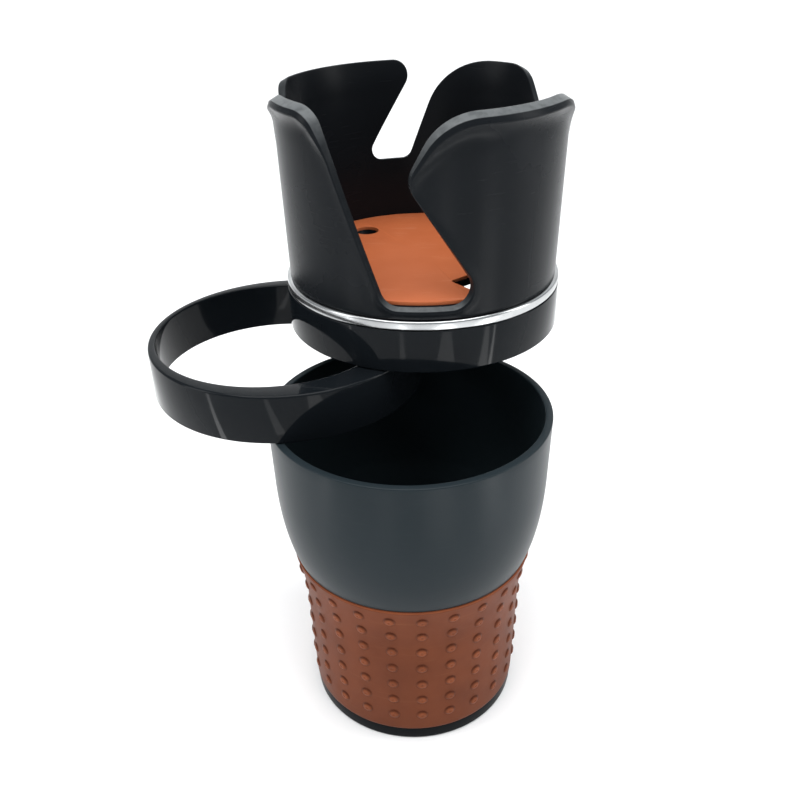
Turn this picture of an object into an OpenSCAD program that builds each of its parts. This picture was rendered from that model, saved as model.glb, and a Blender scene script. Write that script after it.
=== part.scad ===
// Swing-out car cup holder: a base cup that stands in the console well, a ring arm that swings
// over its rim, and a clawed upper cup that swings on the ring. Millimetres, +Z up.
// The origin is the centre of the foot. The arms are drawn swung out as they are used.

/* [Tiers] */
// Outer radius that the rim, the ring arm, the collar and the bright band share
tier_r = 44; // [42:0.5:47]
// Gap between one tier and the next, kept open by the thrust washers
tier_gap = 0.3; // [0.2:0.05:0.5]

/* [Base cup] */
// Height of the base cup from the foot to the rim
base_h = 108.5; // [100:0.5:120]
// Wall of the base cup
base_wall = 2.4; // [1.8:0.1:3]
// Floor of the base cup
base_floor = 3; // [2:0.5:5]
// Outer radius of the foot below the sleeve
foot_r = 34.9; // [34:0.1:35.2]
// Height of the foot below the sleeve
foot_h = 4.7; // [3:0.1:7]
// Depth of the hollow under the foot
foot_hollow = 1; // [0.5:0.1:1.5]
// Width of the standing ring round that hollow
foot_ring_w = 4; // [3:0.5:6]
// How far the bowl's lower end steps in from the sleeve's top edge
bowl_step = 0.6; // [0.4:0.1:1.2]
// Height of the bowl's shoulder, where it stops widening fast
shoulder_z = 88; // [82:0.5:92]
// How far the shoulder lies inside the rim's outer radius
shoulder_in = 0.6; // [0.3:0.1:1]

/* [Grip sleeve] */
// How far the sleeve's lower edge stands out from the foot
sleeve_step = 0.4; // [0.2:0.1:0.8]
// How far the sleeve widens up to where it starts to flare
sleeve_taper = 1; // [0.6:0.1:1.6]
// How far it widens from there to its top edge
sleeve_flare = 3.2; // [2:0.1:3.6]
// Height where the sleeve starts to flare
sleeve_flare_z = 42; // [38:0.5:46]
// Height of the sleeve's top edge
sleeve_top_z = 60; // [58:0.5:64]
// Thickness of the sleeve
sleeve_t = 1.6; // [1.2:0.1:2]
// Clearance between the sleeve and the cup
sleeve_gap = 0.05; // [0.02:0.01:0.1]
// Columns of grip dots round the sleeve
dot_columns = 24; // [16:1:28]
// Rows of grip dots
dot_rows = 7; // [4:1:7]
// Diameter of a grip dot
dot_d = 3.8; // [2.5:0.1:4.5]
// Height of a grip dot
dot_h = 0.7; // [0.4:0.1:1]
// Height of the lowest row of dots
dot_low_z = 12.7; // [10:0.1:14]
// Distance between the rows
dot_pitch = 7.2; // [6:0.1:7.2]

/* [Ring arm] */
// Height of the ring arm
ring_h = 15.6; // [13:0.1:18]
// Width of the ring midway between its thick side and its thin side
ring_w = 6; // [5.8:0.1:7]
// How far the hole lies off centre, which makes the ring thick beside the pivots
ring_offset = 3.9; // [3.4:0.1:4.2]
// Wall left round the hollow under the ring
ring_wall = 2; // [1.6:0.1:2.2]
// Skin left above that hollow
ring_skin = 4.6; // [4.4:0.1:6]
// Thickness of the ribs in that hollow
rib_t = 1.4; // [1:0.1:2]

/* [Pivots] */
// Distance of each pivot from the rim's outer radius
pin_inset = 4.7; // [4.6:0.05:4.8]
// Direction of the base pivot, seen from the base cup
base_pin_az = 95.4; // [85:0.1:105]
// Angle between the two pivots, seen from the ring
pin_spread = 62; // [55:1:70]
// How far the ring arm is drawn swung out from folded
ring_swing = 72; // [60:1:90]
// How far the upper cup is drawn swung out from folded
cup_swing = 72; // [60:1:90]
// Radius of the screw's shoulder
shoulder_pin_r = 2.2; // [1.8:0.05:2.3]
// Running clearance round the shoulder
pin_gap = 0.05; // [0.02:0.01:0.08]
// Radius of the screw's thread, and of the hole that it is driven into
thread_r = 1.5; // [1.2:0.05:1.7]
// Length of the thread
thread_l = 9; // [7:0.5:10]
// Radius of the screw's head
head_r = 3.3; // [3:0.05:3.3]
// Height of the screw's head
head_h = 2; // [1.6:0.1:2.2]
// Radius of the washers under the head
washer_r = 3.4; // [3.2:0.05:3.45]
// Thickness of the flat washer
washer_t = 0.6; // [0.4:0.1:0.8]
// Height of the disc spring
spring_h = 0.8; // [0.6:0.1:0.9]
// Sheet thickness of the disc spring
spring_t = 0.35; // [0.2:0.05:0.4]
// Radial room round the head and the washers
head_gap = 0.35; // [0.3:0.05:0.4]
// Radius of the thrust washer between two tiers
thrust_r = 3.6; // [3.2:0.1:3.7]
// Thickness of the thrust washer
thrust_t = 1; // [0.8:0.1:1.2]
// Radius of the posts round the pivots
post_r = 4.5; // [4.45:0.05:4.6]
// Length of the post inside the base cup's rim
base_post_h = 14; // [13:0.5:20]
// Height of the post inside the collar
collar_post_h = 6.6; // [6:0.1:7.5]

/* [Collar and band] */
// Height of the gloss collar
collar_h = 13.3; // [12.5:0.1:15]
// Wall of the collar and of the bright band
collar_wall = 2.4; // [2:0.1:2.6]
// Width of the collar's bottom flange
flange_w = 8.6; // [8.4:0.1:9.2]
// Thickness of that flange
flange_t = 3.2; // [2.8:0.1:3.6]
// Height of the bright band
band_h = 3; // [2:0.1:4]
// Depth of the band's hollow edge
band_edge = 0.4; // [0.2:0.1:0.6]

/* [Upper cup] */
// Height of the upper cup above the band
cup_h = 57.7; // [54:0.1:62]
// How far the upper cup's foot steps in from the band
cup_step = 1.2; // [1:0.1:1.8]
// How far the upper cup widens up to its lip
cup_taper = 1.2; // [0.4:0.1:1.4]
// Wall of the upper cup
cup_wall = 2; // [1.8:0.1:2.4]
// How far the lip stands out from the wall
lip_out = 2.2; // [1.8:0.1:3.2]
// Height of the lip's outward flare
lip_h = 11; // [9:0.5:13]
// How far the lip's outer edge lies below its crest
lip_drop = 3.4; // [2.6:0.1:4]
// How far the lip's crest lies inside the wall's outer radius
crest_in = 1.4; // [1.1:0.1:1.6]
// Thickness of the upper cup's floor
cup_floor = 2.2; // [1.8:0.1:2.8]
// Height of the floor's underside above the band's top
floor_rise = 1.4; // [1.2:0.1:1.8]
// Depth of the spigot that centres the cup in the band and the collar
spigot_h = 5.6; // [4:0.1:5.8]
// Clearance round the spigot
spigot_gap = 0.1; // [0.05:0.01:0.15]
// Wall of the spigot
spigot_wall = 2.2; // [1.8:0.1:2.4]

/* [Slots] */
// Direction of the front handle slot
front_az = -97; // [-110:1:-85]
// Width of the front slot at its sill, which is level with the floor
front_foot_w = 29.4; // [24:0.1:31]
// Sideways place of the middle of that sill
front_foot_s = 8.1; // [7:0.1:10]
// How far the slot's left side leans back over its height
front_lean = 18.4; // [14:0.1:20]
// Sideways place of the slot's narrowest point
front_neck_s = -0.4; // [-1:0.1:2]
// Distance of that point below the crest
front_neck_drop = 18.2; // [16:0.1:21]
// How far the slot's right side leans back from there to the crest
front_mouth = 9.8; // [7:0.1:12]
// Corner radius of the left claw at the front slot
front_left_round = 9; // [5:0.5:11]
// Corner radius of the right claw at the front slot
front_right_round = 16; // [12:0.5:22]
// Corner radius of the front slot's sill
front_sill_round = 5.6; // [3:0.1:7]
// Corner radius of the neck
front_neck_round = 7; // [4:0.5:9]
// Direction of the rear handle slot
rear_az = 96; // [88:1:104]
// Height of the rear slot's sill above the band
rear_sill = 24.9; // [20:0.1:30]
// Width of the rear slot at its sill
rear_foot_w = 16; // [12:0.1:18]
// Sideways place of the middle of that sill
rear_foot_s = 7.5; // [5:0.1:9]
// How far the rear slot's one side leans over its height
rear_lean = 12.8; // [9:0.1:15]
// How much more the other side leans, which narrows the mouth
rear_narrow = 7.7; // [5:0.1:9]
// Corner radius of the claw on the side that leans less
rear_wide_round = 22; // [12:0.5:24]
// Corner radius of the claw on the side that leans more
rear_tip_round = 5.2; // [3:0.1:6]
// Corner radius of the rear slot's sill
rear_sill_round = 3.5; // [2:0.1:5]
// Depth of the two side gaps below the crest
side_depth = 17.7; // [12:0.1:24]
// Corner radius of their bottoms
side_foot_round = 3.6; // [2:0.1:3.9]
// Direction of the gap on the left side
left_az = 175; // [171:1:179]
// Width of the left gap at its bottom
left_foot_w = 8; // [8:0.5:12]
// How far the left gap widens towards the rear claw
left_rear_lean = 4.8; // [4:0.1:9]
// How far the left gap widens towards the front claw
left_front_lean = 6.5; // [5:0.1:9]
// Corner radius of the rear claw at the left gap
left_rear_round = 4.5; // [3:0.5:9]
// Corner radius of the front claw at the left gap
left_front_round = 14; // [8:0.5:16]
// Direction of the gap on the right side
right_az = 12; // [8:1:16]
// Width of the right gap at its bottom
right_foot_w = 18; // [12:0.5:19]
// How far the right gap widens towards the rear claw
right_rear_lean = 9.2; // [5:0.1:10]
// How far the right gap widens towards the front claw
right_front_lean = 12.5; // [8:0.1:14]
// Corner radius of the rear claw at the right gap
right_rear_round = 9; // [4:0.5:10]
// Corner radius of the front claw at the right gap
right_front_round = 20; // [10:0.5:22]

/* [Floor openings] */
// Direction of the cable opening in the floor
opening_az = -50; // [-56:1:-44]
// Width of the cable opening
opening_w = 20; // [14:0.5:22]
// Length of the cable opening along the floor's radius
opening_l = 14.6; // [11:0.1:17]
// Distance of its outer edge from the inside of the spigot
opening_edge = 0.5; // [0.3:0.1:4]
// Radius of the round finger hole
finger_r = 4; // [3:0.1:5]
// Distance of the finger hole from the inside of the wall
finger_inset = 11.7; // [9:0.1:14]
// Direction of the finger hole
finger_az = 130; // [120:1:140]

/* [Mat] */
// Thickness of the mat
mat_t = 1.2; // [1:0.1:2]
// Clearance round the mat
mat_gap = 0.3; // [0.2:0.05:0.5]

/* [Collar screws] */
// Directions of the three screws that hold the collar to the cup
screw_az = [20, 90, 165];
// Distance of those screws from the band's outer radius
screw_inset = 5.6; // [5.5:0.05:5.7]
// Radius of the screw bosses
boss_r = 2.9; // [2.7:0.1:2.9]
// Radius of the screws' shanks
small_r = 1.3; // [1.1:0.05:1.4]
// Radius of the screws' heads
small_head_r = 2.4; // [2.2:0.1:2.5]
// Height of the screws' heads
small_head_h = 1.4; // [1.2:0.1:1.5]
// Length of the screws below the head
small_l = 9; // [7:0.5:11]

/* [Hidden] */
$fn = 96;
eps = 0.01;     // overlap that joins two solids
over = 1;       // how far a cut runs past a face
edge = 0.4;     // chamfer on moulded edges
room = 0.2;     // room left above a head, round a screw or past a thread
play = 0.1;     // radial play of the washers on the shoulder and in their seats
foot_edge = 1;  // chamfer of the foot
floor_edge = 2; // slope where the base cup's floor meets its wall
bowl_fold = 0.4;    // how far the bowl's bend keeps inside its shoulder
flare_fold = 0.5;   // how far the sleeve has widened at the bend of its flare
flare_fold_h = 8;   // height of that bend above the start of the flare
lip_fold = 0.1;     // how far the wall has widened at the bend of the lip's flare
lip_fold_h = 6;     // height of that bend above the start of the flare
lip_edge = 0.7;     // height of the lip's rounded outer edge
crest_land = 0.5;   // width of the flat on the crest
dot_az = -86;       // direction of the first column of dots
dot_root = 0.6;     // depth of a dot's root in the sleeve
rib_az = [10, 52, 74];  // directions of the ribs, on both sides of the ring's thick side

// Levels of the tiers
ring_z = base_h + tier_gap;
ring_top = ring_z + ring_h;
collar_z = ring_top + tier_gap;
band_z = collar_z + collar_h;
cup_z = band_z + band_h;
crest_z = cup_z + cup_h;
floor_z = cup_z + floor_rise;
mat_z = floor_z + cup_floor;

// Radii that follow the foot and the tiers
sleeve_low_r = foot_r + sleeve_step;
sleeve_mid_r = sleeve_low_r + sleeve_taper;
sleeve_top_r = sleeve_mid_r + sleeve_flare;
bowl_low_r = sleeve_top_r - bowl_step;
shoulder_r = tier_r - shoulder_in;
ring_hole_r = tier_r - ring_w;
collar_in = tier_r - collar_wall;
flange_in = tier_r - flange_w;
cup_low_r = tier_r - cup_step;
cup_high_r = cup_low_r + cup_taper;
cup_in = cup_low_r - cup_wall;
lip_r = cup_high_r + lip_out;
crest_r = cup_high_r - crest_in;
spigot_r = collar_in - spigot_gap;
spigot_in = spigot_r - spigot_wall;
opening_out = spigot_in - opening_edge;
opening_in = opening_out - opening_l;
finger_place = cup_in - finger_inset;
screw_place = tier_r - screw_inset;

// Pivots: each one lies at the same distance from the two axes that it joins
pin_place = tier_r - pin_inset;
function polar(r, a) = [r * cos(a), r * sin(a)];
base_pin = polar(pin_place, base_pin_az);
ring_pin_az = base_pin_az - ring_swing;
ring_c = base_pin - polar(pin_place, ring_pin_az);
ring_far_az = ring_pin_az - pin_spread;
thick_az = ring_pin_az - pin_spread / 2;
cup_pin = ring_c + polar(pin_place, ring_far_az);
cup_pin_az = ring_far_az - cup_swing;
cup_c = cup_pin - polar(pin_place, cup_pin_az);

// Screw stack: head, disc spring and flat washer
stack_h = washer_t + spring_h;
sink = stack_h + head_h + room;
recess_d = thrust_t - tier_gap;

// A curve through p0 and p2 that leans towards p1
function curve(p0, p1, p2, n = 8) =
    [for (i = [0 : n]) let (t = i / n) (1 - t) * (1 - t) * p0 + 2 * t * (1 - t) * p1 + t * t * p2];

// An outline whose corners [x, y, radius] are rounded
function unit(v) = v / norm(v);
function corner(p, c, q, r, n) =
    let (u = unit([p.x - c.x, p.y - c.y]), v = unit([q.x - c.x, q.y - c.y]),
         half = acos(u * v) / 2, m = [c.x, c.y] + unit(u + v) * r / sin(half),
         a = [c.x, c.y] + u * r / tan(half) - m, b = [c.x, c.y] + v * r / tan(half) - m,
         a0 = atan2(a.y, a.x), turn = atan2(a.x * b.y - a.y * b.x, a * b))
    [for (i = [0 : n]) m + r * [cos(a0 + turn * i / n), sin(a0 + turn * i / n)]];
function rounded(v, n = 7) =
    [for (i = [0 : len(v) - 1])
        let (p = v[(i + len(v) - 1) % len(v)], c = v[i], q = v[(i + 1) % len(v)])
        each c[2] > 0 ? corner(p, c, q, c[2], n) : [[c.x, c.y]]];

// Outer lines of the sleeve and of the bowl, from low to high
function sleeve_line(inset = 0) = concat(
    [[sleeve_low_r - inset, foot_h]],
    [for (p = curve([sleeve_mid_r, sleeve_flare_z],
                    [sleeve_mid_r + flare_fold, sleeve_flare_z + flare_fold_h],
                    [sleeve_top_r, sleeve_top_z], 5)) [p.x - inset, p.y]]);
function bowl_line(inset = 0) = concat(
    [for (p = curve([bowl_low_r, sleeve_top_z],
                    [shoulder_r - bowl_fold, sleeve_top_z + (shoulder_z - sleeve_top_z) * 0.4],
                    [shoulder_r, shoulder_z])) [p.x - inset, p.y]],
    [[tier_r - inset, base_h - edge]]);
function flip(v) = [for (i = [len(v) - 1 : -1 : 0]) v[i]];
seat_in = sleeve_t + sleeve_gap;

module at_base_pin(z) translate([base_pin.x, base_pin.y, z]) children();
module at_cup_pin(z) translate([cup_pin.x, cup_pin.y, z]) children();
module at_cup(z = 0) translate([cup_c.x, cup_c.y, z]) children();

module base_outside() {
    rotate_extrude() polygon(concat(
        [[0, 0], [foot_r - foot_edge, 0], [foot_r, foot_edge], [foot_r, foot_h]],
        sleeve_line(seat_in), bowl_line(),
        [[tier_r - edge, base_h], [0, base_h]]));
}

module base_inside() {
    floor_top = base_floor + foot_hollow;
    floor_r = sleeve_low_r - seat_in - base_wall;
    rotate_extrude() polygon(concat(
        [[0, floor_top], [floor_r - floor_edge, floor_top], [floor_r, floor_top + floor_edge]],
        [for (p = sleeve_line(seat_in + base_wall)) if (p.y > foot_h + 3 && p.y < sleeve_top_z) p],
        [for (p = bowl_line(base_wall)) if (p.y > sleeve_top_z + 3) p],
        [[tier_r - base_wall + edge, base_h + eps], [tier_r - base_wall + edge, base_h + over],
         [0, base_h + over]]));
}

// Post round the base pivot, cut off aslant below so that it grows out of the wall
module base_post() {
    cut = post_r * 4;
    intersection() {
        base_outside();
        difference() {
            at_base_pin(base_h - base_post_h) cylinder(r = post_r, h = base_post_h);
            rotate([0, 0, base_pin_az])
                translate([pin_place - post_r, -post_r - over, base_h - base_post_h])
                rotate([0, 45, 0]) translate([-cut, 0, -cut])
                    cube([cut + post_r * 0.6, (post_r + over) * 2, cut]);
        }
    }
}

module base_cup() {
    color([0.2, 0.23, 0.25]) difference() {
        union() {
            difference() {
                base_outside();
                base_inside();
            }
            base_post();
        }
        translate([0, 0, -over]) cylinder(r = foot_r - foot_ring_w, h = foot_hollow + over);
        at_base_pin(base_h - recess_d) cylinder(r = thrust_r + play, h = recess_d + over);
        at_base_pin(base_h - recess_d - thread_l - room) cylinder(r = thread_r, h = thread_l + room + over);
    }
}

sleeve_height_line = [for (p = sleeve_line()) [p.y, p.x]];

module grip_sleeve() {
    color([0.49, 0.3, 0.22]) union() {
        rotate_extrude() polygon(concat(sleeve_line(), flip(sleeve_line(sleeve_t))));
        for (row = [0 : dot_rows - 1], col = [0 : dot_columns - 1])
            let (z = dot_low_z + row * dot_pitch)
            rotate([0, 0, dot_az + col * 360 / dot_columns])
                translate([lookup(z, sleeve_height_line) - dot_root, 0, z]) rotate([0, 90, 0])
                    cylinder(d = dot_d, h = dot_root + dot_h, $fn = 16);
    }
}

// Shoulder screw with a hexagon socket, that stands with its thread's end at z = 0
module shoulder_screw(grip) {
    color("silver") difference() {
        union() {
            cylinder(r = thread_r, h = thread_l + eps);
            translate([0, 0, thread_l]) cylinder(r = shoulder_pin_r, h = grip + eps);
            translate([0, 0, thread_l + grip]) cylinder(r = head_r, h = head_h);
        }
        translate([0, 0, thread_l + grip + head_h * 0.4]) cylinder(r = head_r * 0.5, h = head_h, $fn = 6);
    }
}

module flat_washer(r, t) {
    difference() {
        cylinder(r = r, h = t);
        translate([0, 0, -over]) cylinder(r = shoulder_pin_r + play, h = t + 2 * over);
    }
}

module disc_spring() {
    in = shoulder_pin_r + play;
    rotate_extrude() polygon([[in, spring_h - spring_t], [washer_r, 0], [washer_r, spring_t],
                              [in, spring_h]]);
}

base_grip = recess_d + tier_gap + ring_h - sink + stack_h;
cup_grip = recess_d + tier_gap + collar_post_h + stack_h;

module base_pivot_screw() at_base_pin(base_h - recess_d - thread_l) shoulder_screw(base_grip);
module base_flat_washer() at_base_pin(ring_top - sink) color("gainsboro")
    flat_washer(washer_r, washer_t);
module base_disc_spring() at_base_pin(ring_top - sink + washer_t) color("gray")
    disc_spring();
module base_thrust_washer() at_base_pin(base_h - recess_d) color("ivory")
    flat_washer(thrust_r, thrust_t);

module cup_pivot_screw() at_cup_pin(ring_top - recess_d - thread_l) shoulder_screw(cup_grip);
module cup_flat_washer() at_cup_pin(collar_z + collar_post_h) color("gainsboro")
    flat_washer(washer_r, washer_t);
module cup_disc_spring() at_cup_pin(collar_z + collar_post_h + washer_t) color("gray")
    disc_spring();
module cup_thrust_washer() at_cup_pin(ring_top - recess_d) color("ivory")
    flat_washer(thrust_r, thrust_t);

// Ring arm about its own axis, with its thick side along +X
module crescent(r, hole_r, h) {
    difference() {
        cylinder(r = r, h = h);
        translate([-ring_offset, 0, -over]) cylinder(r = hole_r, h = h + 2 * over);
    }
}

module ring_body() {
    pocket_h = ring_h - ring_skin;
    difference() {
        rotate_extrude() polygon([[0, 0], [tier_r - edge, 0], [tier_r, edge], [tier_r, ring_h - edge],
                                  [tier_r - edge, ring_h], [0, ring_h]]);
        translate([-ring_offset, 0, -over]) cylinder(r = ring_hole_r, h = ring_h + 2 * over);
        difference() {
            translate([0, 0, -over]) crescent(tier_r - ring_wall, ring_hole_r + ring_wall, pocket_h + over);
            for (a = [-1, 1]) rotate([0, 0, a * pin_spread / 2])
                translate([pin_place, 0, -2 * over]) cylinder(r = post_r, h = ring_h);
            for (side = [-1, 1], a = rib_az) rotate([0, 0, side * a])
                translate([ring_hole_r / 2, -rib_t / 2, -2 * over]) cube([tier_r / 2, rib_t, ring_h]);
        }
        // bore, and the sink for the head, at the base pivot
        rotate([0, 0, pin_spread / 2]) translate([pin_place, 0, 0]) {
            translate([0, 0, -over]) cylinder(r = shoulder_pin_r + pin_gap, h = ring_h + 2 * over);
            translate([0, 0, ring_h - sink]) cylinder(r = washer_r + head_gap, h = sink + over);
        }
        // threaded hole, and the seat of the thrust washer, at the cup pivot
        rotate([0, 0, -pin_spread / 2]) translate([pin_place, 0, 0]) {
            translate([0, 0, ring_h - recess_d - thread_l - room]) cylinder(r = thread_r, h = ring_h);
            translate([0, 0, ring_h - recess_d]) cylinder(r = thrust_r + play, h = recess_d + over);
        }
    }
}

module ring_arm() {
    color([0.09, 0.1, 0.11]) translate([ring_c.x, ring_c.y, ring_z]) rotate([0, 0, thick_az])
        ring_body();
}

module collar() {
    color([0.07, 0.08, 0.09]) difference() {
        union() {
            at_cup(collar_z) difference() {
                rotate_extrude() polygon([[flange_in, 0], [tier_r - edge, 0], [tier_r, edge],
                                          [tier_r, collar_h], [collar_in, collar_h],
                                          [collar_in, flange_t], [flange_in, flange_t]]);
                for (a = screw_az) rotate([0, 0, a]) translate([screw_place, 0, -over]) {
                    cylinder(r = small_r + room, h = flange_t + 2 * over);
                    cylinder(r = small_head_r + room, h = small_head_h + room + over);
                }
            }
            at_cup_pin(collar_z) cylinder(r = post_r, h = collar_post_h);
        }
        at_cup_pin(collar_z - over) cylinder(r = shoulder_pin_r + pin_gap, h = collar_post_h + 2 * over);
        at_cup_pin(collar_z + collar_post_h) cylinder(r = washer_r + head_gap, h = stack_h + head_h + room);
    }
}

module bright_band() {
    color([0.85, 0.86, 0.88]) at_cup(band_z) rotate_extrude() polygon([
        [collar_in, 0], [tier_r - band_edge, 0], [tier_r, band_edge], [tier_r, band_h - band_edge],
        [tier_r - band_edge, band_h], [collar_in, band_h]]);
}

lip_z = crest_z - lip_h;

// Outlines of the slots: sideways from the slot's own direction, height, corner radius.
// Each one is closed by a frame above the crest, well beyond the claws.
top_z = crest_z + eps;
beyond = tier_r + lip_h;
function slot(corners) = concat([[-beyond, top_z, 0]], corners,
    [[beyond, top_z, 0], [beyond, top_z + beyond, 0], [-beyond, top_z + beyond, 0]]);
front_slot = let (l = front_foot_s - front_foot_w / 2, r = front_foot_s + front_foot_w / 2) slot([
    [l - front_lean, top_z, front_left_round],
    [l, mat_z, front_sill_round],
    [r, mat_z, front_sill_round],
    [front_neck_s, crest_z - front_neck_drop, front_neck_round],
    [front_neck_s + front_mouth, top_z, front_right_round]]);
rear_slot = let (l = rear_foot_s - rear_foot_w / 2, r = rear_foot_s + rear_foot_w / 2) slot([
    [l - rear_lean, top_z, rear_wide_round],
    [l, cup_z + rear_sill, rear_sill_round],
    [r, cup_z + rear_sill, rear_sill_round],
    [r - rear_lean - rear_narrow, top_z, rear_tip_round]]);
function gap(w, before, before_round, after, after_round) = slot([
    [-w / 2 - before, top_z, before_round],
    [-w / 2, crest_z - side_depth, side_foot_round],
    [w / 2, crest_z - side_depth, side_foot_round],
    [w / 2 + after, top_z, after_round]]);
left_gap = gap(left_foot_w, left_rear_lean, left_rear_round, left_front_lean, left_front_round);
right_gap = gap(right_foot_w, right_front_lean, right_front_round, right_rear_lean, right_rear_round);
cut_from = tier_r / 8;  // the cuts start beside the axis, so that each one passes one side only

module side_cut(az, outline) {
    rotate([0, 0, az]) rotate([90, 0, 90]) translate([0, 0, cut_from]) linear_extrude(height = beyond)
        polygon(rounded(outline));
}

module floor_cuts(z, h, out) {
    rotate([0, 0, opening_az]) translate([opening_in, -opening_w / 2, z])
        cube([out - opening_in, opening_w, h]);
    rotate([0, 0, finger_az]) translate([finger_place, 0, z]) cylinder(r = finger_r, h = h);
}

module upper_cup() {
    color([0.13, 0.14, 0.15]) at_cup() difference() {
        union() {
            difference() {
                rotate_extrude() polygon(concat(
                    [[0, floor_z], [spigot_in, floor_z], [spigot_in, cup_z - spigot_h],
                     [spigot_r, cup_z - spigot_h], [spigot_r, cup_z], [cup_low_r - edge, cup_z],
                     [cup_low_r, cup_z + edge]],
                    curve([cup_high_r, lip_z], [cup_high_r + lip_fold, lip_z + lip_fold_h],
                          [lip_r, crest_z - lip_drop]),
                    [[lip_r - edge, crest_z - lip_drop + lip_edge],
                     [crest_r + crest_land, crest_z - 0.1], [crest_r, crest_z]],
                    [[cup_high_r - cup_wall, lip_z], [cup_in, mat_z], [0, mat_z]]));
                side_cut(front_az, front_slot);
                side_cut(rear_az, rear_slot);
                side_cut(left_az, left_gap);
                side_cut(right_az, right_gap);
            }
            for (a = screw_az) rotate([0, 0, a]) translate([screw_place, 0, collar_z + flange_t])
                cylinder(r = boss_r, h = floor_z - collar_z - flange_t + eps);
        }
        floor_cuts(floor_z - over, cup_floor + 2 * over, opening_out);
        for (a = screw_az) rotate([0, 0, a]) translate([screw_place, 0, collar_z + flange_t - over])
            cylinder(r = small_r, h = small_head_h + small_l - flange_t + 2 * room + over);
    }
}

module cup_mat() {
    color([0.75, 0.43, 0.31]) at_cup() difference() {
        translate([0, 0, mat_z]) cylinder(r = cup_in - mat_gap, h = mat_t);
        floor_cuts(mat_z - over, mat_t + 2 * over, cup_in);
    }
}

module collar_screws() {
    color("silver") at_cup(collar_z) for (a = screw_az) rotate([0, 0, a]) translate([screw_place, 0, room])
        difference() {
            union() {
                cylinder(r = small_head_r, h = small_head_h);
                translate([0, 0, small_head_h - eps]) cylinder(r = small_r, h = small_l);
            }
            for (turn = [0, 90]) rotate([0, 0, turn]) translate([-small_head_r * 0.6, -0.3, -over])
                cube([small_head_r * 1.2, 0.6, over + 0.7]);
        }
}

base_cup();
grip_sleeve();
base_pivot_screw();
base_flat_washer();
base_disc_spring();
base_thrust_washer();
ring_arm();
cup_pivot_screw();
cup_flat_washer();
cup_disc_spring();
cup_thrust_washer();
collar();
bright_band();
upper_cup();
cup_mat();
collar_screws();
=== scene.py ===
import bpy, bmesh, math
import numpy as np
from mathutils import Matrix, Vector
from mathutils.geometry import delaunay_2d_cdt


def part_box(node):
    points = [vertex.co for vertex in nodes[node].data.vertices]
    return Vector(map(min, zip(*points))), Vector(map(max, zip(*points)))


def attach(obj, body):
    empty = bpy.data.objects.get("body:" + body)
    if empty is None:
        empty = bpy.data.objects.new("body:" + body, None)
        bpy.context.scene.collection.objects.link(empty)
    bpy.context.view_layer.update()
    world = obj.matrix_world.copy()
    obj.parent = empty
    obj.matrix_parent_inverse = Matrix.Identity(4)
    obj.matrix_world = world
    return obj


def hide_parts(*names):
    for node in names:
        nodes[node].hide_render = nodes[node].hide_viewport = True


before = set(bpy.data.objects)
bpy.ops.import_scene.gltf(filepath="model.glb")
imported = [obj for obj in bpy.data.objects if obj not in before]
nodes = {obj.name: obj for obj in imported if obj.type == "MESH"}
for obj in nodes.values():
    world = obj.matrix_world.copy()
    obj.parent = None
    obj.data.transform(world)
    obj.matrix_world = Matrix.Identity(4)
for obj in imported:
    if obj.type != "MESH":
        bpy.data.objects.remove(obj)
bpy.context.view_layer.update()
mm = 0.001

# shared sizes, millimetres, as in the frame
tierR = 44.0
baseTop, ringLow, ringTop = 108.5, 108.8, 124.4
collarLow, bandLow, cupLow, crestZ = 124.7, 138.0, 141.0, 198.7


def centreOf(node):
    lo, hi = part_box(node)
    return Vector(((lo.x + hi.x) / 2, (lo.y + hi.y) / 2)) / mm


cupC = centreOf("bright_band")
ringC = centreOf("ring_arm")
basePin = centreOf("base_thrust_washer")
cupPin = centreOf("cup_thrust_washer")
print("frame loaded", len(nodes), "nodes")


# mesh helpers; shapes are drawn in millimetres, and makeObject turns them into metres
def onCircle(angle):
    return Vector((math.cos(angle), math.sin(angle)))


def roundedPath(points, closed=True, steps=5):
    # points are (x, y, radius); returns the outline with its corners rounded
    straight = 1.55  # half of a corner's angle from which it counts as no corner
    out = []
    n = len(points)
    for i, (x, y, r) in enumerate(points):
        c = Vector((x, y))
        if r <= 0 or (not closed and i in (0, n - 1)):
            out.append(c)
            continue
        before, after = points[i - 1], points[(i + 1) % n]
        u, v = Vector(before[:2]) - c, Vector(after[:2]) - c
        lu, lv = u.length, v.length
        u.normalize()
        v.normalize()
        half = u.angle(v) / 2
        if half > straight:  # the same count of points, close together
            near = min(r, lu, lv)
            out += [c + (v - u) * near * 0.05 * (k / steps - 0.5) for k in range(steps + 1)]
            continue
        # two rounded neighbours share the edge between them
        shareU = 0.49 if before[2] > 0 else 0.98
        shareV = 0.49 if after[2] > 0 else 0.98
        t = min(r / math.tan(half), lu * shareU, lv * shareV)
        r = t * math.tan(half)
        m = c + (u + v).normalized() * (r / math.sin(half))
        a, b = c + u * t - m, c + v * t - m
        turn = math.atan2(a.x * b.y - a.y * b.x, a.dot(b))
        first = math.atan2(a.y, a.x)
        out += [m + onCircle(first + turn * k / steps) * r for k in range(steps + 1)]
    return out


def curve(p0, p1, p2, n):
    # bend from p0 to p2 that leans to p1
    def at(i, t):
        return (1 - t) ** 2 * p0[i] + 2 * t * (1 - t) * p1[i] + t * t * p2[i]

    return [(at(0, k / n), at(1, k / n)) for k in range(n + 1)]


def skin(bm, a, b, closed=False, flip=False):
    # faces between two rows of vertices
    n = len(a)
    for i in range(n if closed else n - 1):
        j = (i + 1) % n
        bm.faces.new((a[i], a[j], b[j], b[i]) if flip else (a[i], b[i], b[j], a[j]))


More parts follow.
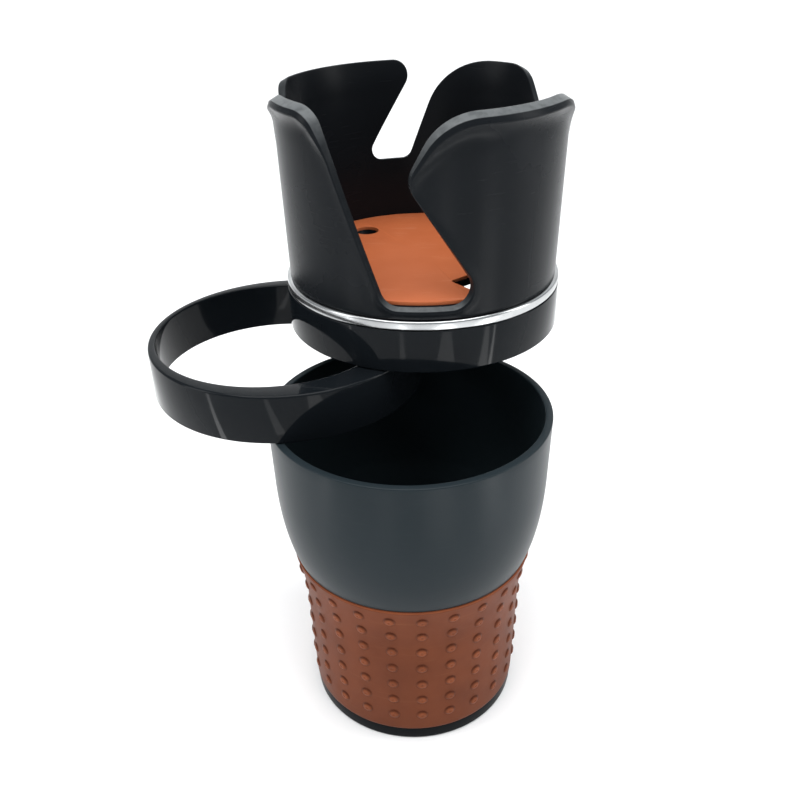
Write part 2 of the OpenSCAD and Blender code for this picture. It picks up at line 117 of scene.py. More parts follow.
def lathe(bm, path, steps=192, closed=True, centre=(0, 0)):
    # turns an outline (radius, height) about an upright axis
    rows = []
    for k in range(steps):
        a = 2 * math.pi * k / steps
        c, s = math.cos(a), math.sin(a)
        rows.append([bm.verts.new((centre[0] + p[0] * c, centre[1] + p[0] * s, p[1])) for p in path])
    for k in range(steps):
        skin(bm, rows[k], rows[(k + 1) % steps], closed)


def link(obj):
    bpy.context.scene.collection.objects.link(obj)
    return obj


def makeObject(name, bm, sharp=38):
    # edges that turn by more than sharp degrees stay crisp
    bmesh.ops.remove_doubles(bm, verts=bm.verts, dist=1e-4)
    bmesh.ops.recalc_face_normals(bm, faces=bm.faces)
    for v in bm.verts:
        v.co = [c * mm for c in v.co]
    mesh = bpy.data.meshes.new(name)
    bm.to_mesh(mesh)
    bm.free()
    mesh.shade_smooth()
    mesh.set_sharp_from_angle(angle=math.radians(sharp))
    return link(bpy.data.objects.new(name, mesh))


def rod(name, centre, z0, z1, r):
    bm = bmesh.new()
    lathe(bm, [(0, z0), (r, z0), (r, z1), (0, z1)], 64, closed=False, centre=centre)
    return makeObject(name, bm)


def applyModifiers(obj):
    bpy.context.view_layer.update()
    graph = bpy.context.evaluated_depsgraph_get()
    mesh = bpy.data.meshes.new_from_object(obj.evaluated_get(graph))
    obj.modifiers.clear()
    obj.data = mesh
    return mesh


def cutWith(obj, tools, kind="DIFFERENCE"):
    # cuts obj with the tools and throws the tools away
    for tool in tools:
        m = obj.modifiers.new("cut", "BOOLEAN")
        m.operation, m.solver, m.object = kind, "MANIFOLD", tool
    mesh = applyModifiers(obj)
    bm = bmesh.new()
    bm.from_mesh(mesh)
    weld = 5e-6  # metres; joins points that the cut left all but on top of each other
    for _ in range(2):
        bmesh.ops.remove_doubles(bm, verts=bm.verts, dist=weld)
        bmesh.ops.dissolve_degenerate(bm, dist=weld, edges=bm.edges)
        bmesh.ops.triangulate(bm, faces=[f for f in bm.faces if len(f.verts) > 4])
    bm.to_mesh(mesh)
    bm.free()
    mesh.set_sharp_from_angle(angle=math.radians(32))  # the cut's own edges stay crisp
    for tool in tools:
        bpy.data.objects.remove(tool)


def joinInto(target, others):
    bm = bmesh.new()
    bm.from_mesh(target.data)
    for other in others:
        bm.from_mesh(other.data)
        bpy.data.objects.remove(other)
    bm.to_mesh(target.data)
    bm.free()


# materials
def newMaterial(name, v):
    mat = bpy.data.materials.new(name)
    mat.use_nodes = True
    nt = mat.node_tree
    shader = nt.nodes["Principled BSDF"]
    shader.inputs["Metallic"].default_value = v.get("metal", 0)
    shader.inputs["IOR"].default_value = v.get("ior", 1.46)
    coords = nt.nodes.new("ShaderNodeTexCoord")

    def noise(scale, detail, stretch=(1, 1, 1)):
        mapping = nt.nodes.new("ShaderNodeMapping")
        mapping.inputs["Scale"].default_value = stretch
        nt.links.new(coords.outputs["Object"], mapping.inputs["Vector"])
        node = nt.nodes.new("ShaderNodeTexNoise")
        node.inputs["Scale"].default_value = scale
        node.inputs["Detail"].default_value = detail
        nt.links.new(mapping.outputs["Vector"], node.inputs["Vector"])
        return node.outputs["Fac"]

    def spread(fac, lo, hi, fromLo=0.3, fromHi=0.7):
        node = nt.nodes.new("ShaderNodeMapRange")
        node.inputs["From Min"].default_value, node.inputs["From Max"].default_value = fromLo, fromHi
        node.inputs["To Min"].default_value, node.inputs["To Max"].default_value = lo, hi
        nt.links.new(fac, node.inputs["Value"])
        return node.outputs["Result"]

    def combine(kind, a, b):
        node = nt.nodes.new("ShaderNodeMath")
        node.operation = kind
        nt.links.new(a, node.inputs[0])
        nt.links.new(b, node.inputs[1])
        return node.outputs[0]

    def mix(fac, a, b):
        # b over a; b is a fixed colour, a is one too or comes from another node
        node = nt.nodes.new("ShaderNodeMix")
        node.data_type = "RGBA"
        nt.links.new(fac, node.inputs["Factor"])
        if isinstance(a, tuple):
            node.inputs["A"].default_value = (*a, 1)
        else:
            nt.links.new(a, node.inputs["A"])
        node.inputs["B"].default_value = (*b, 1)
        return node.outputs["Result"]

    blotch = noise(v["blotchScale"], 4, v.get("paintedStreakStretch", (1, 1, 1)))
    scratch = noise(v["scratchScale"], 3, v.get("scratchStretch", (1, 1, 12)))
    colour = mix(spread(blotch, 0, 1), v["colour"], v["colour2"])
    if "paintedLight" in v:  # painted highlights and painted shade, as painted on the mesh: light on the cup's lip edges and on the sleeve's top edge and dot caps, shade at the dots' feet
        painted_light = nt.nodes.new("ShaderNodeAttribute")
        painted_light.attribute_name = "painted_light"
        patchy = spread(noise(v["paintedLightScale"], 5), 0.72, 1.16, 0.35, 0.65)
        colour = mix(combine("MULTIPLY", painted_light.outputs["Fac"], patchy), colour, v["paintedLight"])
    colour = mix(spread(scratch, 0, v["wear"], 0.62, 0.8), colour, v["wornColour"])  # light streaks
    nt.links.new(colour, shader.inputs["Base Color"])
    rough, vary = v["rough"], v["roughVary"]
    roughness = combine("ADD", spread(blotch, rough - vary, rough + vary), spread(scratch, 0, vary, 0.6, 0.85))
    nt.links.new(roughness, shader.inputs["Roughness"])
    bump = nt.nodes.new("ShaderNodeBump")
    bump.inputs["Strength"].default_value = v["bump"]
    bump.inputs["Distance"].default_value = 0.0001
    nt.links.new(noise(v["grain"], 3), bump.inputs["Height"])
    nt.links.new(bump.outputs["Normal"], shader.inputs["Normal"])
    return mat


# paintedLight is the colour of the painted highlights on the cup's lip
cupPlasticValues = {"colour": (0.0055, 0.0068, 0.0082), "colour2": (0.0075, 0.009, 0.011),
                    "wornColour": (0.026, 0.028, 0.032), "wear": 0.015,
                    "paintedLight": (0.105, 0.112, 0.115), "paintedLightScale": 420,
                    "ior": 1.17, "rough": 0.27, "roughVary": 0.012, "bump": 0.12,
                    "grain": 1600, "blotchScale": 30, "scratchScale": 90}
basePlasticValues = {"colour": (0.012, 0.018, 0.0215), "colour2": (0.015, 0.0215, 0.0255),
                     "wornColour": (0.04, 0.046, 0.052), "wear": 0.1,
                     "ior": 1.2, "rough": 0.32, "roughVary": 0.03, "bump": 0.1,
                     "grain": 1500, "blotchScale": 26, "scratchScale": 80}
# painted shade: a darker, less reflective copy of the base plastic for the foot
footShadeValues = {**basePlasticValues, "ior": 1.14,
                     "colour": (0.0035, 0.0045, 0.0055), "colour2": (0.005, 0.006, 0.007)}
glossPlasticValues = {"colour": (0.005, 0.0064, 0.008), "colour2": (0.0065, 0.0082, 0.01),
                      "wornColour": (0.022, 0.024, 0.028), "wear": 0.08,
                      "ior": 1.19, "rough": 0.07, "roughVary": 0.03, "bump": 0.02,
                      "grain": 500, "blotchScale": 40, "scratchScale": 120}
# colour2 drawn out in upright stripes: painted reflection streaks on the plating
chromeValues = {"colour": (0.56, 0.57, 0.575), "colour2": (0.3, 0.305, 0.31),
                "wornColour": (0.2, 0.2, 0.205), "wear": 0.2,
                "metal": 1, "rough": 0.2, "roughVary": 0.05, "bump": 0.02,
                "grain": 700, "blotchScale": 75, "paintedStreakStretch": (1, 1, 0.15),
                "scratchScale": 200, "scratchStretch": (1, 1, 20)}
# paintedLight is the colour of the sleeve's painted highlights; the plain surface takes part of it, and
# painted shade less
sleeveRubberValues = {"colour": (0.074, 0.0185, 0.0075), "colour2": (0.058, 0.0145, 0.006),
                      "wornColour": (0.26, 0.1, 0.048), "wear": 0.22,
                      "paintedLight": (0.235, 0.066, 0.0265), "paintedLightScale": 70,
                      "ior": 1.17, "rough": 0.44, "roughVary": 0.06, "bump": 0.25,
                      "grain": 1100, "blotchScale": 34, "scratchScale": 70}
matRubberValues = {"colour": (0.4, 0.105, 0.037), "colour2": (0.355, 0.09, 0.031),
                   "wornColour": (0.6, 0.3, 0.19), "wear": 0.2,
                   "ior": 1.25, "rough": 0.55, "roughVary": 0.06, "bump": 0.3,
                   "grain": 1300, "blotchScale": 45, "scratchScale": 80, "scratchStretch": (1, 6, 1)}
steelValues = {"colour": (0.55, 0.56, 0.58), "colour2": (0.45, 0.46, 0.48),
               "wornColour": (0.3, 0.3, 0.3), "wear": 0.3,
               "metal": 1, "rough": 0.3, "roughVary": 0.08, "bump": 0.15,
               "grain": 1800, "blotchScale": 150, "scratchScale": 400}
nylonValues = {"colour": (0.72, 0.7, 0.63), "colour2": (0.66, 0.63, 0.56),
               "wornColour": (0.4, 0.38, 0.34), "wear": 0.3,
               "rough": 0.45, "roughVary": 0.05, "bump": 0.15,
               "grain": 1500, "blotchScale": 120, "scratchScale": 300}

cupPlastic = newMaterial("cup_satin_black", cupPlasticValues)
basePlastic = newMaterial("base_satin_slate", basePlasticValues)
# painted shade for the foot of the base cup
footShadePlastic = newMaterial("foot_painted_shade", footShadeValues)
glossPlastic = newMaterial("gloss_black", glossPlasticValues)
chrome = newMaterial("bright_plating", chromeValues)
sleeveRubber = newMaterial("brown_silicone", sleeveRubberValues)
matRubber = newMaterial("tan_mat_rubber", matRubberValues)
steel = newMaterial("zinc_steel", steelValues)
nylon = newMaterial("natural_nylon", nylonValues)
print("materials made")


def finishPiece(obj, mat, body, node):
    obj.data.materials.clear()
    obj.data.materials.append(mat)
    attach(obj, body)
    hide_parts(node)


# base cup
baseCup = {"wall": 2.4, "footR": 34.9, "footH": 4.7, "footRound": 0.9, "soleIn": 4, "soleUp": 1,
           "seatIn": 1.65, "sleeveLow": 35.3, "sleeveMid": 36.3, "sleeveTop": 39.5, "flareZ": 42,
           "topZ": 60, "bowlR": 38.9, "shoulderR": 43.4, "shoulderZ": 88, "rimRound": 0.45,
           "floorR": 31.25, "floorZ": 4, "floorRound": 2.5, "footShadeR": 31, "steps": 240,
           # post for the pivot screw, clipped to stay inside the cup's outer wall
           "postR": 4.5, "postH": 14, "threadR": 1.5, "mouthR": 1.9, "washerR": 3.7, "washerDeep": 0.7,
           "lipIn": 3.95, "lipOut": 4.3, "clipZ": 80, "clipIn": 0.25}


def sleeveLine(inset, n=14):
    # outside of the grip sleeve, moved in by inset
    v = baseCup
    low = (v["sleeveMid"], v["flareZ"])
    lean = (v["sleeveMid"] + 0.5, v["flareZ"] + 8)
    line = [(v["sleeveLow"], v["footH"])] + curve(low, lean, (v["sleeveTop"], v["topZ"]), n)
    return [(r - inset, z) for r, z in line]


def bowlLine(inset, n=26):
    # outside of the bowl above the sleeve, moved in by inset
    v = baseCup
    shoulder = (v["shoulderR"], v["shoulderZ"])
    bend = v["topZ"] + (v["shoulderZ"] - v["topZ"]) * 0.4
    low = curve((v["bowlR"], v["topZ"]), (v["shoulderR"] - 0.4, bend), shoulder, n)
    lean = (v["shoulderR"] + 0.25, (v["shoulderZ"] + baseTop) / 2)
    high = curve(shoulder, lean, (tierR, baseTop), 6)
    return [(r - inset, z) for r, z in low + high[1:]]


def buildBase():
    v = baseCup
    soleR = v["footR"] - v["soleIn"]
    outer = [(0, v["soleUp"], 0), (soleR, v["soleUp"], 0.2), (soleR, 0, 0.3),
             (v["footR"], 0, v["footRound"]), (v["footR"], v["footH"], 0.3)]
    outer += [(r, z, 0.4) for r, z in sleeveLine(v["seatIn"])]
    outer += [(r, z, 0.5 if i == 0 else 0) for i, (r, z) in enumerate(bowlLine(0))][:-1]
    outer += [(tierR, baseTop, v["rimRound"]), (tierR - v["wall"], baseTop, v["rimRound"])]
    bowl = reversed(bowlLine(v["wall"])[:-1])
    stem = reversed(sleeveLine(v["seatIn"] + v["wall"]))
    inner = [(r, z, 0) for r, z in bowl if z > v["topZ"] + 3]
    inner += [(r, z, 0) for r, z in stem if v["footH"] + 3 < z < v["topZ"]]
    inner += [(v["floorR"], v["floorZ"], v["floorRound"]), (0, v["floorZ"], 0)]
    bm = bmesh.new()
    lathe(bm, roundedPath(outer + inner), v["steps"], closed=False)
    cup = makeObject("base_cup_moulding", bm, 40)
    # the post, with the thrust washer's seat in its top
    low, seat, top = baseTop - v["postH"], baseTop - v["washerDeep"], baseTop - 0.02
    section = [(v["threadR"], baseTop - 10), (v["threadR"], baseTop - 1.0), (v["mouthR"], seat),
               (v["washerR"], seat), (v["washerR"], baseTop - 0.25), (v["lipIn"], top), (v["lipOut"], top),
               (v["postR"], baseTop - 0.3), (v["postR"], low + 3), (v["postR"] - 1, low + 0.6),
               (v["threadR"], low)]
    bm = bmesh.new()
    lathe(bm, section, 72, centre=basePin)
    post = makeObject("post", bm, 32)
    cutWith(cup, [rod("hole", basePin, seat, baseTop + 1, v["washerR"])])
    shell = [(r - v["clipIn"], z) for r, z in bowlLine(0) if z > v["clipZ"]]
    shell = [(0, v["clipZ"])] + shell + [(tierR - 0.35, baseTop + 1), (0, baseTop + 1)]
    bm = bmesh.new()
    lathe(bm, shell, v["steps"], closed=False)
    cutWith(post, [makeObject("keep", bm)], "INTERSECT")
    joinInto(cup, [post])
    return cup


base = buildBase()
finishPiece(base, basePlastic, "base", "base_cup")
base.data.materials.append(footShadePlastic)
for face in base.data.polygons:  # painted shade: the foot below the sleeve is darker
    fromAxis = math.hypot(face.center.x, face.center.y)
    if face.center.z < baseCup["footH"] * mm and fromAxis > baseCup["footShadeR"] * mm:
        face.material_index = 1
print("base cup built", len(base.data.polygons))


# grip sleeve
sleeve = {"thick": 1.6, "columns": 24, "rows": 7, "lowZ": 11.9, "pitch": 7.2, "phase": -86,
          "dotR": 1.85, "dotH": 0.68, "dimple": 0.2, "dimpleR": 0.6,
          # points round a dot, and the distances from its centre at which they lie
          "around": 24, "rings": (0.25, 0.45, 0.65, 0.9, 1.15, 1.4, 1.6, 1.75, 1.85, 1.95, 2.25),
          # share of painted light on the plain sleeve, and the painted highlight along its top edge
          "plainLightMix": 0.41, "edgeHighlight": 0.75,
          # painted highlight on a dot at each distance from its centre
          "dotPaintedLight": ((0, 0.4), (0.5, 0.76), (1.05, 0.7), (1.4, 0.46), (1.65, 0.28), (1.95, 0.3),
                      (2.25, 0.41)),
          # painted shade darkens the upper side of a dot's foot
          "dotShade": 0.4, "dotShadeR": 1.6, "dotShadeWide": 0.35}


def sleeveRadius(z):
    line = sleeveLine(0, 30)
    return float(np.interp(z, [p[1] for p in line], [p[0] for p in line]))


def dotHeight(d):
    v = sleeve
    if d >= v["dotR"]:
        return 0
    dome = v["dotH"] * (1 - (d / v["dotR"]) ** 2.3) ** 0.75
    return dome - v["dimple"] * max(0, 1 - (d / v["dimpleR"]) ** 2) ** 2


def dotPaintedLight(d, w):
    # painted light at distance d from the dot's centre, in the direction w: highlight on the cap, shade on the
    # upper side of its foot
    v = sleeve
    dotShade = v["dotShade"] * max(0, math.sin(w)) * math.exp(-((d - v["dotShadeR"]) / v["dotShadeWide"]) ** 2)
    return max(0, float(np.interp(d, *zip(*v["dotPaintedLight"]))) - dotShade)


def buildSleeve():
    v = sleeve
    bm = bmesh.new()
    # painted light held on the vertices: highlights on the top edge and dot caps, shade at the dots' feet
    painted_light = bm.verts.layers.float.new("painted_light")
    colW, rowH = 360 / v["columns"], v["pitch"]
    perSide = v["around"] // 4

    def place(a, z, h=0, share=v["plainLightMix"]):
        r = sleeveRadius(z) + h
        vert = bm.verts.new((r * math.cos(math.radians(a)), r * math.sin(math.radians(a)), z))
        vert[painted_light] = share
        return vert

    cell = []  # once round the square that a dot stands in
    for side in range(4):
        for k in range(perSide):
            t = -0.5 + k / perSide
            cell.append([(0.5, t), (-t, 0.5), (-0.5, -t), (t, -0.5)][side])
    for row in range(v["rows"]):
        z = v["lowZ"] + row * rowH
        wallR = sleeveRadius(z)
        for col in range(v["columns"]):
            a = v["phase"] + col * colW
            last = [place(a + x * colW, z + y * rowH) for x, y in cell]
            for r in reversed(v["rings"]):
                ringV = []
                for x, y in cell:
                    w = math.atan2(y * rowH, x * colW * math.radians(1) * wallR)
                    aside, up = math.degrees(r * math.cos(w) / wallR), r * math.sin(w)
                    ringV.append(place(a + aside, z + up, dotHeight(r), dotPaintedLight(r, w)))
                skin(bm, last, ringV, closed=True, flip=True)
                last = ringV
            tip = place(a, z, dotHeight(0), dotPaintedLight(0, 0))
            for i in range(len(cell)):
                bm.faces.new((last[i], last[(i + 1) % len(cell)], tip))
    # plain bands above, inside and below, on the same columns; rows are (depth, height)
    z0, z1 = v["lowZ"] - rowH / 2, v["lowZ"] + rowH * (v["rows"] - 0.5)
    top, low = baseCup["topZ"], baseCup["footH"]
    high = [(0, z1), (0, (z1 + top) / 2), (0.02, top - 0.7), (0.1, top - 0.35), (0.3, top - 0.1), (0.6, top)]
    inside = sleeveLine(v["thick"], 10)
    foot = [(0.35, low + 0.08), (0.12, low + 0.3), (0.03, low + 0.7), (0, low + 1.4), (0, z0 - 1.2), (0, z0)]
    loop = [(sleeveRadius(z) - h, z) for h, z in high]
    loop += [(inside[-1][0] + 0.2, top)] + [(r, z) for r, z in reversed(inside) if z < top - 0.3]
    loop += [(sleeveRadius(z) - h, z) for h, z in foot]
    steps = v["columns"] * perSide
    rows = []
    for k in range(steps):
        a = math.radians(v["phase"] - colW / 2 + 360 * k / steps)
        rows.append([bm.verts.new((r * math.cos(a), r * math.sin(a), z)) for r, z in loop])
        # the top edge gets a painted highlight
        for i, vert in enumerate(rows[-1]):
            vert[painted_light] = v["edgeHighlight"] if 2 < i < len(high) else v["plainLightMix"]
    for k in range(steps):
        skin(bm, rows[k], rows[(k + 1) % steps])
    bmesh.ops.remove_doubles(bm, verts=bm.verts, dist=0.003)
    return makeObject("grip_sleeve_rubber", bm, 75)


grip = buildSleeve()
finishPiece(grip, sleeveRubber, "base", "grip_sleeve")
print("grip sleeve built", len(grip.data.polygons))


# ring arm
ringArm = {"holeR": 38.0, "offset": 3.9, "wall": 2.0, "skin": 4.6, "edge": 0.75, "holeEdge": 0.6,
           "steps": 256, "sink": 3.6, "sinkR": 3.75, "boreR": 2.25, "threadR": 1.5, "threadDeep": 9.9,
           "washerR": 3.7, "washerDeep": 0.7,
           # degrees from the thickest place: ribs, half widths of rib and pivot, end of the hollows
           "ribs": (-74, -52, -10, 10, 52, 74), "ribHalf": 1.0, "pivotHalf": 7.2, "hollowTo": 96}


def ringWall(sign, r, e):
    # one upright wall with a rounded top edge, from below to the top face
    h = ringTop - ringLow
    arc = [(r - sign * e * (1 - math.cos(k * math.pi / 10)), h - e + e * math.sin(k * math.pi / 10))
           for k in range(6)]
    return [(r - sign * 0.35, 0), (r - sign * 0.08, 0.12), (r, 0.4)] + arc


def ringPocket(hole, thick, g0, g1):
    # hollow of the underside from g0 to g1 degrees
    v = ringArm
    pocketTop = ringTop - v["skin"]
    outR = tierR - v["wall"]
    rel = ringC - hole
    bm = bmesh.new()
    n = max(4, int((g1 - g0) / 2))
    loops = []
    for k in range(n + 1):
        d = onCircle(thick + math.radians(g0 + (g1 - g0) * k / n))
        along = rel.dot(d)
        # from ringC along d to the hole's wall
        inR = -along + math.sqrt(along * along - rel.length_squared + (v["holeR"] + v["wall"]) ** 2)
        inR = min(inR, outR - 0.3)
        corners = [(inR, ringLow - 1), (outR, ringLow - 1), (outR, pocketTop), (inR, pocketTop)]
        loops.append([bm.verts.new((ringC.x + d.x * r, ringC.y + d.y * r, z)) for r, z in corners])
    for a, b in zip(loops, loops[1:]):
        skin(bm, a, b, closed=True, flip=True)
    bm.faces.new(loops[0])
    bm.faces.new(list(reversed(loops[-1])))
    return makeObject("pocket", bm)


def buildRing():
    v = ringArm
    basePinDir = math.atan2(basePin.y - ringC.y, basePin.x - ringC.x)
    cupPinDir = math.atan2(cupPin.y - ringC.y, cupPin.x - ringC.x)
    thick = (basePinDir + cupPinDir) / 2
    hole = ringC - onCircle(thick) * v["offset"]
    outer, inner = ringWall(1, tierR, v["edge"]), ringWall(-1, v["holeR"], v["holeEdge"])
    bm = bmesh.new()
    rows = []
    for k in range(v["steps"]):
        a = 2 * math.pi * k / v["steps"]
        c, s = math.cos(a), math.sin(a)
        row = [(ringC.x + r * c, ringC.y + r * s, ringLow + z) for r, z in outer]
        row += [(hole.x + r * c, hole.y + r * s, ringLow + z) for r, z in reversed(inner)]
        rows.append([bm.verts.new(p) for p in row])
    for k in range(v["steps"]):
        skin(bm, rows[k], rows[(k + 1) % v["steps"]], closed=True)
    ring = makeObject("ring_arm_moulding", bm, 32)
    # hollow underside, left solid round the two pivots and at the ribs
    stops = [(a, v["ribHalf"]) for a in v["ribs"]] + [(-v["hollowTo"], 0), (v["hollowTo"], 0)]
    stops += [(math.degrees(pin - thick), v["pivotHalf"]) for pin in (basePinDir, cupPinDir)]
    stops.sort()
    gaps = [(a0 + half0, a1 - half1) for (a0, half0), (a1, half1) in zip(stops, stops[1:])]
    tools = [ringPocket(hole, thick, g0, g1) for g0, g1 in gaps if g1 - g0 >= 2]
    over = ringTop + 1
    tools.append(rod("bore", basePin, ringLow - 1, over, v["boreR"]))
    tools.append(rod("sink", basePin, ringTop - v["sink"], over, v["sinkR"]))
    tools.append(rod("thread", cupPin, ringTop - v["threadDeep"], over, v["threadR"]))
    tools.append(rod("seat", cupPin, ringTop - v["washerDeep"], over, v["washerR"]))
    cutWith(ring, tools)
    return ring


ring = buildRing()
finishPiece(ring, glossPlastic, "ring", "ring_arm")
print("ring arm built", len(ring.data.polygons))


# collar
collarValues = {"wall": 2.4, "flangeIn": 35.4, "flangeT": 3.2, "edge": 0.5, "postR": 4.5, "postIn": 1.6,
                "postH": 6.6, "boreR": 2.25, "screwAz": (20, 90, 165), "screwPlace": 38.4,
                "screwHole": 1.5, "screwSink": 2.6, "sinkDeep": 1.6}


def screwPlaces():
    # of the screws that hold the collar, the band and the upper cup together
    v = collarValues
    return [(cupC.x + v["screwPlace"] * math.cos(math.radians(a)),
             cupC.y + v["screwPlace"] * math.sin(math.radians(a))) for a in v["screwAz"]]


def buildCollar():
    v = collarValues
    wallIn, flangeTop = tierR - v["wall"], collarLow + v["flangeT"]
    bm = bmesh.new()
    lathe(bm, roundedPath([(v["flangeIn"], collarLow, 0.4), (tierR, collarLow, v["edge"]),
                           (tierR, bandLow, 0.25), (wallIn, bandLow, 0.2),
                           (wallIn, flangeTop, 0.5), (v["flangeIn"], flangeTop, 0.4)]), 240, centre=cupC)
    collar = makeObject("collar_moulding", bm, 40)
    low, top = collarLow + 0.02, collarLow + v["postH"]
    bm = bmesh.new()
    lathe(bm, roundedPath([(v["postIn"], low, 0), (v["postR"], low, 0), (v["postR"], top, 0.5),
                           (v["postIn"], top, 0)]), 64, centre=cupPin)
    post = makeObject("post", bm)
    under = collarLow - 1
    tools = [rod("bore", cupPin, under, top + 1, v["boreR"])]
    for place in screwPlaces():
        tools.append(rod("hole", place, under, collarLow + 4, v["screwHole"]))
        tools.append(rod("sink", place, under, collarLow + v["sinkDeep"], v["screwSink"]))
    cutWith(collar, tools)
    cutWith(post, [rod("bore", cupPin, under, top + 1, v["boreR"])])
    joinInto(collar, [post])
    return collar


collar = buildCollar()
finishPiece(collar, glossPlastic, "cup", "collar")
print("collar built", len(collar.data.polygons))


# bright band
bandValues = {"thick": 2.4, "edge": 0.55, "crown": 0.12}


def buildBand():
    v = bandValues
    innerR, edgeR = tierR - v["thick"], tierR - v["edge"]
    path = [(innerR, bandLow, 0), (edgeR, bandLow, 0)]
    for k in range(7):  # the outside bulges a little
        sag = v["crown"] * ((k / 6 - 0.5) * 2) ** 2
        path.append((tierR - 0.02 - sag, bandLow + 0.25 + (cupLow - bandLow - 0.5) * k / 6, 0))
    path += [(edgeR, cupLow, 0), (innerR, cupLow, 0.2)]
    bm = bmesh.new()
    lathe(bm, roundedPath(path), 256, centre=cupC)
    return makeObject("bright_band_plated", bm, 50)


band = buildBand()
finishPiece(band, chrome, "cup", "bright_band")
print("bright band built", len(band.data.polygons))


# upper cup; its wall is laid out flat, x round the wall and z up, and then rolled up
upperCup = {"wallR": 42.8, "lowR": 42.8, "highR": 44.0, "highZ": 187.7, "wall": 2.0, "seamAz": -45,
            "grid": 1.15, "rimStep": 0.9,
            # lip: reach and length of the flare, how both shrink with it, then its facet, face and rounds
            "flare": 2.1, "flarePower": 1.4, "flareL": 4.8, "flareKeep": 0.35, "flareFade": 2.2,
            "facet": 1.5, "tipRound": 0.5, "face": 1.7, "faceLean": 0.7, "faceRound": 0.8,
            "crestIn": 0.5, "crestL": 9, "beadL": 1.9,
            # size of the lip down in the slots, what the front sill adds, and the rear claw's faint end
            "edgeLow": 0.26, "sill": 0.22, "sillL": 5, "faintAz": 33, "faintWide": 16, "faint": 0.6,
            # direction, and the height down to which the lip fades there
            "fadeZ": ((-45, 179), (-28, 186), (36, 187), (80, 183), (115, 183), (152, 182), (157, 164),
                      (167, 164), (176, 189), (195, 187), (228, 184), (250, 183), (256, 175), (262, 172),
                      (268, 176), (315, 179)),
            # painted highlight on the lip: its strength in the slots, on their sills, and by direction
            "highlightLow": 0.05, "sillHighlight": 0.75, "highlightFrom": 9,
            "lipHighlightByAz": ((-45, 1), (10, 1), (24, 0.35), (172, 0.3), (180, 1), (315, 1)),
            "footUp": 0.4, "floorZ": 142.4, "floorT": 2.2, "floorR": 41.2, "floorLowR": 41.3,
            "spigotR": 41.5, "spigotIn": 39.3, "spigotLow": 135.2, "bossIn": 1.3, "bossR": 2.9,
            "openAz": -50, "openW": 20, "openIn": 24.2, "openOut": 38.8,
            "fingerAz": 130, "fingerPlace": 29.1, "fingerR": 4.0}
sillUp, slotDeep = 3.6, 17.7  # of the front slot's sill, and of the shallow slots
# slots: direction, then outline as (sideways, height, corner radius)
slots = [
    (12, [(-21.5, crestZ, 20), (-9, crestZ - slotDeep, 3.6), (9, crestZ - slotDeep, 3.6), (18.2, crestZ, 9)]),
    (96, [(-13.3, crestZ, 22), (-0.5, cupLow + 24.9, 3.5), (15.5, cupLow + 24.9, 3.5), (-5, crestZ, 5.2)]),
    (175, [(-6, crestZ, 4.3), (-4, crestZ - slotDeep, 3.6), (4, crestZ - slotDeep, 3.6), (10.5, crestZ, 14)]),
    (263, [(-25, crestZ, 9), (-6.6, cupLow + sillUp, 5.6), (22.8, cupLow + sillUp, 5.6),
           (-0.4, crestZ - 18.2, 7), (9.4, crestZ, 16)]),
]


def resample(points, step):
    # points at even steps along the line
    p = np.array([(q[0], q[1]) for q in points])
    seg = np.hypot(*np.diff(p, axis=0).T)
    dist = np.concatenate([[0], np.cumsum(seg)])
    n = max(2, int(round(dist[-1] / step)))
    t = np.linspace(0, dist[-1], n + 1)
    return np.stack([np.interp(t, dist, p[:, 0]), np.interp(t, dist, p[:, 1])], 1)


def edgeSize(x, z):
    # 1 along the crest, less down the sides of the slots and at the rear claw's right end
    v = upperCup
    az = np.degrees(x / v["wallR"])
    lowZ = np.interp(az, *zip(*v["fadeZ"]))
    t = np.clip((z - lowZ) / (crestZ - lowZ), 0, 1)
    k = v["edgeLow"] + (1 - v["edgeLow"]) * t * t * (3 - 2 * t)
    sill = v["sill"] * np.clip(1 - (z - cupLow - sillUp) / v["sillL"], 0, 1)
    k = np.maximum(k, v["edgeLow"] + sill)
    faint = np.clip(1 - np.abs(az - v["faintAz"]) / v["faintWide"], 0, 1)
    return k * (1 - v["faint"] * faint * faint * (3 - 2 * faint))


def lipReach(k):
    return upperCup["flare"] * k ** upperCup["flarePower"]


def flareOut(d, k):
    # how far the outside stands out at distance d from the edge, where the lip has size k
    v = upperCup
    length = v["flareL"] * (v["flareKeep"] + (1 - v["flareKeep"]) * k)
    u = np.clip((d - (v["facet"] + v["face"]) * k) / length, 0, 1)
    return lipReach(k) * (1 - u) ** v["flareFade"]


def flareIn(d, k):
    # how far the inside leans outwards there
    v = upperCup
    return v["crestIn"] * k * k * (1 - np.clip(d / v["crestL"], 0, 1)) ** 2


def toWorld(x, z, n):
    # n is measured outwards from the inner wall
    v = upperCup
    a = x / v["wallR"]
    outerR = np.interp(z, [cupLow, v["highZ"]], [v["lowR"], v["highR"]])
    r = outerR - v["wall"] + n
    return (cupC.x + r * math.cos(a), cupC.y + r * math.sin(a), z)


def topChain():
    # the wall's upper edge with its slots, and the two ends of the sheet
    wallR, seam = upperCup["wallR"], upperCup["seamAz"]
    x0, x1 = wallR * math.radians(seam), wallR * math.radians(seam + 360)
    line = [(x0, crestZ)]
    for az, outline in slots:
        far = [(-30, crestZ, 0)] + outline + [(30, crestZ, 0)]
        for p in roundedPath(far, closed=False, steps=14)[1:-1]:
            s = max(-wallR * 0.98, min(wallR * 0.98, p.x))
            line.append((wallR * (math.radians(az) + math.asin(s / wallR)), p.y))
    line.append((x1, crestZ))
    return resample(line, upperCup["rimStep"]), x0, x1


